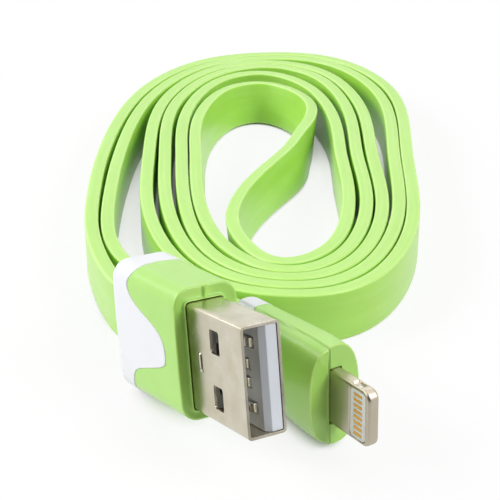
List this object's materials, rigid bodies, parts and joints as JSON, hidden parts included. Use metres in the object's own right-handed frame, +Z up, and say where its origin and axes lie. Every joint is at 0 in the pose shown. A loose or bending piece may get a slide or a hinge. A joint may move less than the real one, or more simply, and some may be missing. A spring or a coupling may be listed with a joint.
{
  "type": "charging cable",
  "caption": "Flat lime green charging cable lying in a double spiral, with a wide plug in a two-colour moulding at one end and a small plug at the other.",
  "frame": {"origin": "middle of the overall box in X and Y, on the plane the ribbon stands on", "axes": "+Y from the plugs towards the far end of the coil, +X to the right seen from the plugs, +Z up"},
  "size_m": [0.0486, 0.1261, 0.0199],
  "materials": {
    "ribbon_green": "satin lime green",
    "moulding_green": "satin lime green",
    "cover_white": "satin white",
    "plug_steel": "bright rolled sheet",
    "tongue_steel": "satin warm grey",
    "insulator_white": "white",
    "contact_silver": "plated",
    "contact_gold": "gold plated",
    "solder": "dull",
    "copper": "bare strands",
    "wire_plastic": "insulation",
    "inner_plastic": "natural",
    "board_green": "solder mask",
    "chip_black": "moulded",
    "ceramic_tan": "ceramic"
  },
  "bodies": {
    "root": {"cord_coil": "ribbon_green", "host_lead": "ribbon_green", "device_lead": "ribbon_green", "host_jacket_end": "ribbon_green", "device_jacket_end": "ribbon_green", "host_overmould": "moulding_green", "device_overmould": "moulding_green", "host_cover": "cover_white", "device_cover": "cover_white", "host_shell": "plug_steel", "device_shield_can": "plug_steel", "device_tongue": "tongue_steel", "host_insulator": "insulator_white", "device_insert": "insulator_white", "host_contact_power": "contact_silver", "host_contact_data_minus": "contact_silver", "host_contact_data_plus": "contact_silver", "host_contact_ground": "contact_silver", "device_contacts_front": "contact_gold", "device_contacts_back": "contact_gold", "host_solder": "solder", "device_solder": "solder", "host_wire_copper": "copper", "device_wire_copper": "copper", "host_wire_insulation": "wire_plastic", "device_wire_insulation": "wire_plastic", "host_inner_mould": "inner_plastic", "device_inner_mould": "inner_plastic", "device_board": "board_green", "device_chip": "chip_black", "device_passives": "ceramic_tan"}
  },
  "joints": []
}
